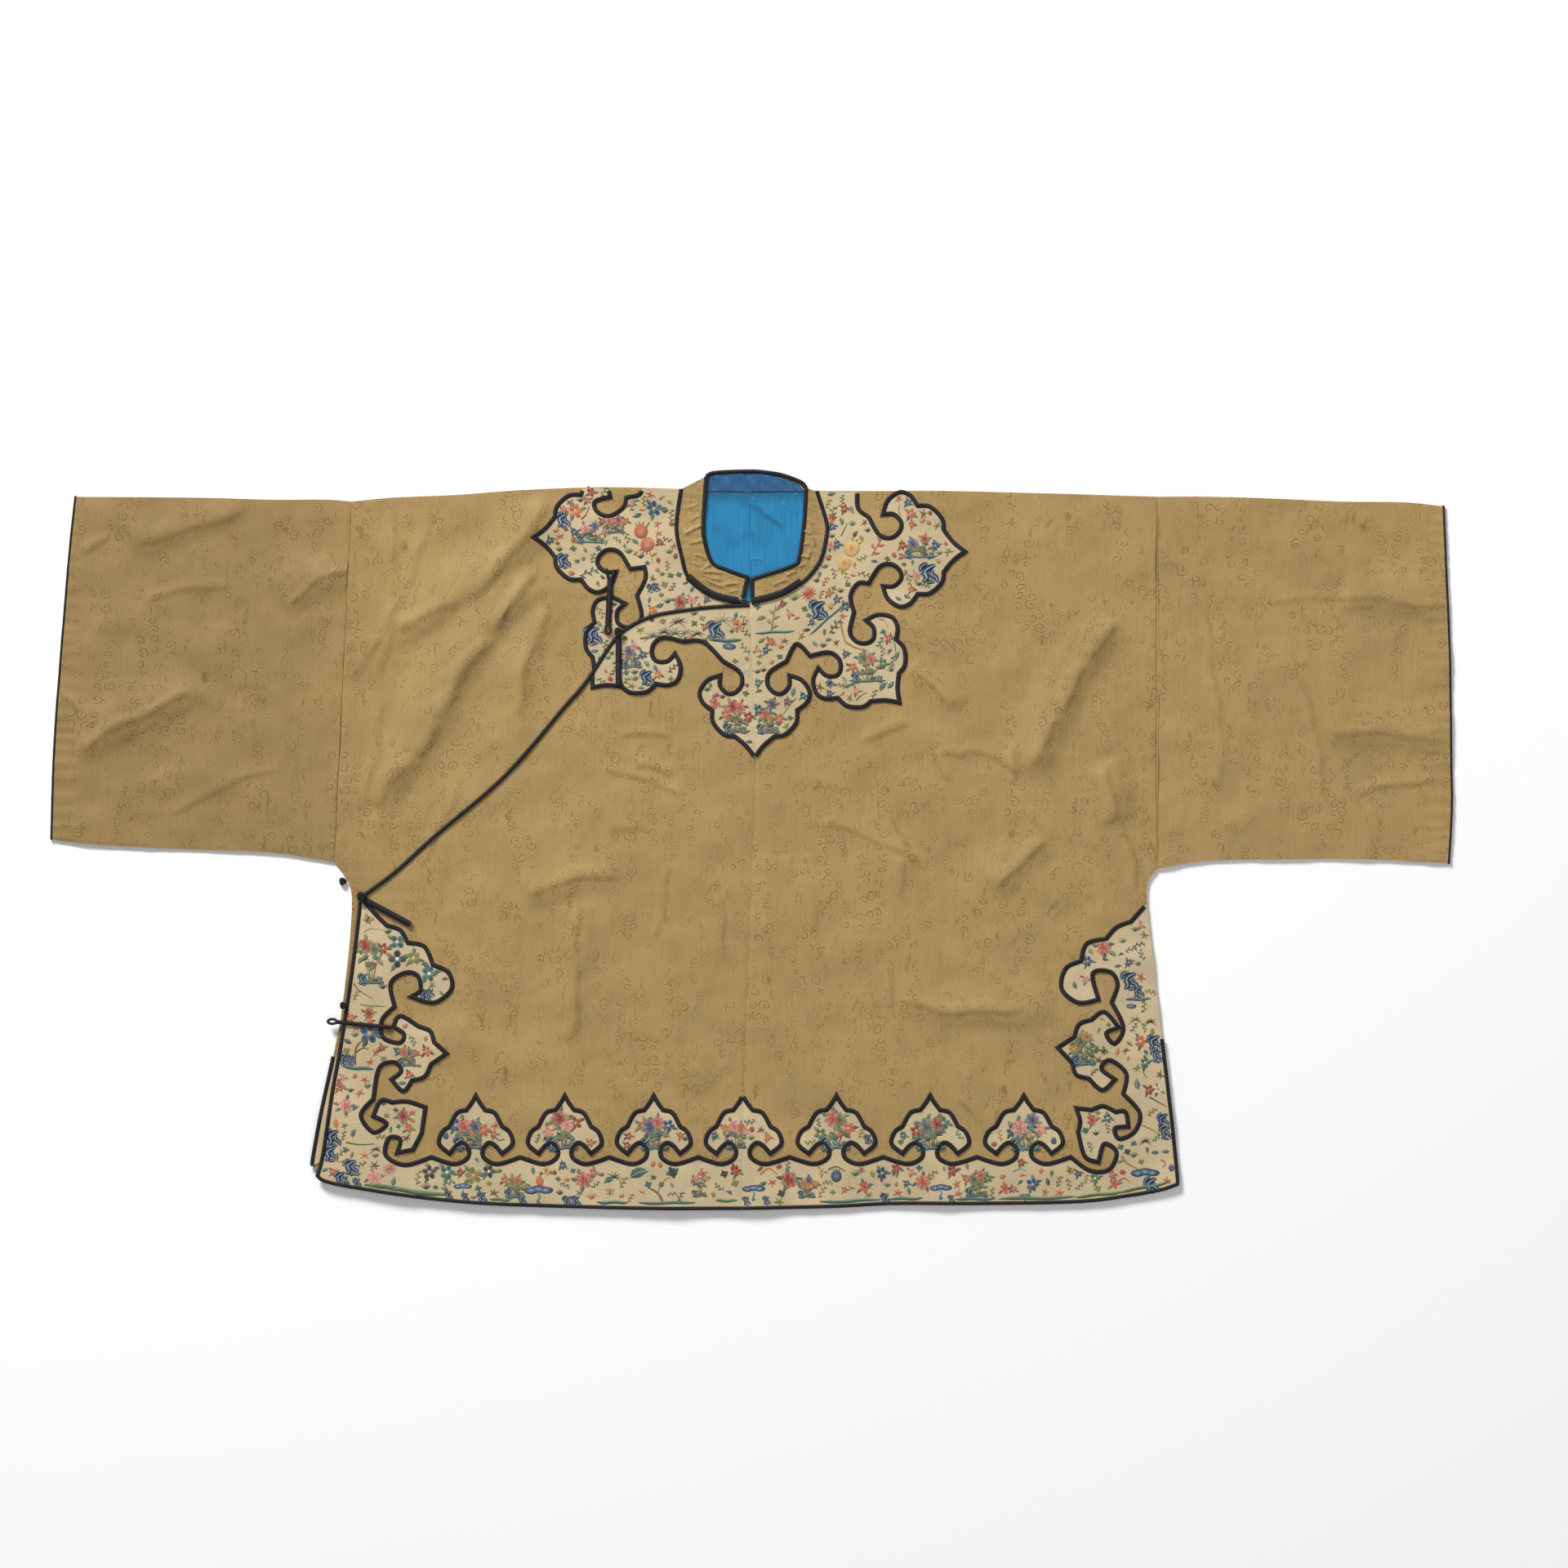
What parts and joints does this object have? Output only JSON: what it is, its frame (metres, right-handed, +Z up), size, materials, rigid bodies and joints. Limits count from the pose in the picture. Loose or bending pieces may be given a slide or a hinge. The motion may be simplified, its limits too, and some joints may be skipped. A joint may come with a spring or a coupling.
{
  "type": "short robe",
  "caption": "Short wide-sleeved silk robe laid flat, side closing over the front, cloud-shaped applique collar and hem borders edged in black braid, standing collar open on a blue lining.",
  "frame": {"origin": "middle of the robe's box on the surface it lies on, below its centre front seam", "axes": "+X towards the wearer's left cuff, +Y from the hem towards the collar, +Z up from the surface, through the back and then the front"},
  "size_m": [1.4604, 0.7708, 0.0165],
  "materials": {
    "tan_silk": "tan brown silk damask with a fine weave and a soft sheen",
    "cream_silk": "cream satin silk with satin-stitch embroidery",
    "black_braid": "black ribbed silk braid and satin piping, dull",
    "black_cord": "black satin cord, dull",
    "blue_lining": "bright blue silk lining, softly creased",
    "collar_blue": "deep blue silk lining, wrinkled"
  },
  "bodies": {
    "root": {"left_body": "tan_silk", "right_body": "tan_silk", "front_overlap": "tan_silk", "left_sleeve": "tan_silk", "right_sleeve": "tan_silk", "collar_band": "tan_silk", "cloud_shoulder": "cream_silk", "cloud_overlap": "cream_silk", "cloud_left": "cream_silk", "border_overlap": "cream_silk", "border_left": "cream_silk", "border_under": "cream_silk", "piping_cuff_left": "black_braid", "piping_cuff_right": "black_braid", "braid_shoulder_bay": "black_braid", "braid_shoulder": "black_braid", "braid_cloud_overlap": "black_braid", "braid_cloud_left": "black_braid", "braid_border_overlap": "black_braid", "braid_border_left": "black_braid", "piping_overlap": "black_braid", "piping_left": "black_braid", "piping_under": "black_braid", "piping_neck_right": "black_braid", "piping_neck_left": "black_braid", "piping_collar_right": "black_braid", "piping_collar_left": "black_braid", "piping_collar_back": "black_braid", "neck_tab_right": "black_cord", "neck_tab_left": "black_cord", "shoulder_strap": "black_cord", "chest_strap": "black_cord", "underarm_strap": "black_cord", "side_strap": "black_cord", "side_knot": "black_cord", "armpit_knot": "black_cord", "right_lining": "blue_lining", "left_lining": "blue_lining", "collar_lining": "collar_blue"}
  },
  "joints": []
}
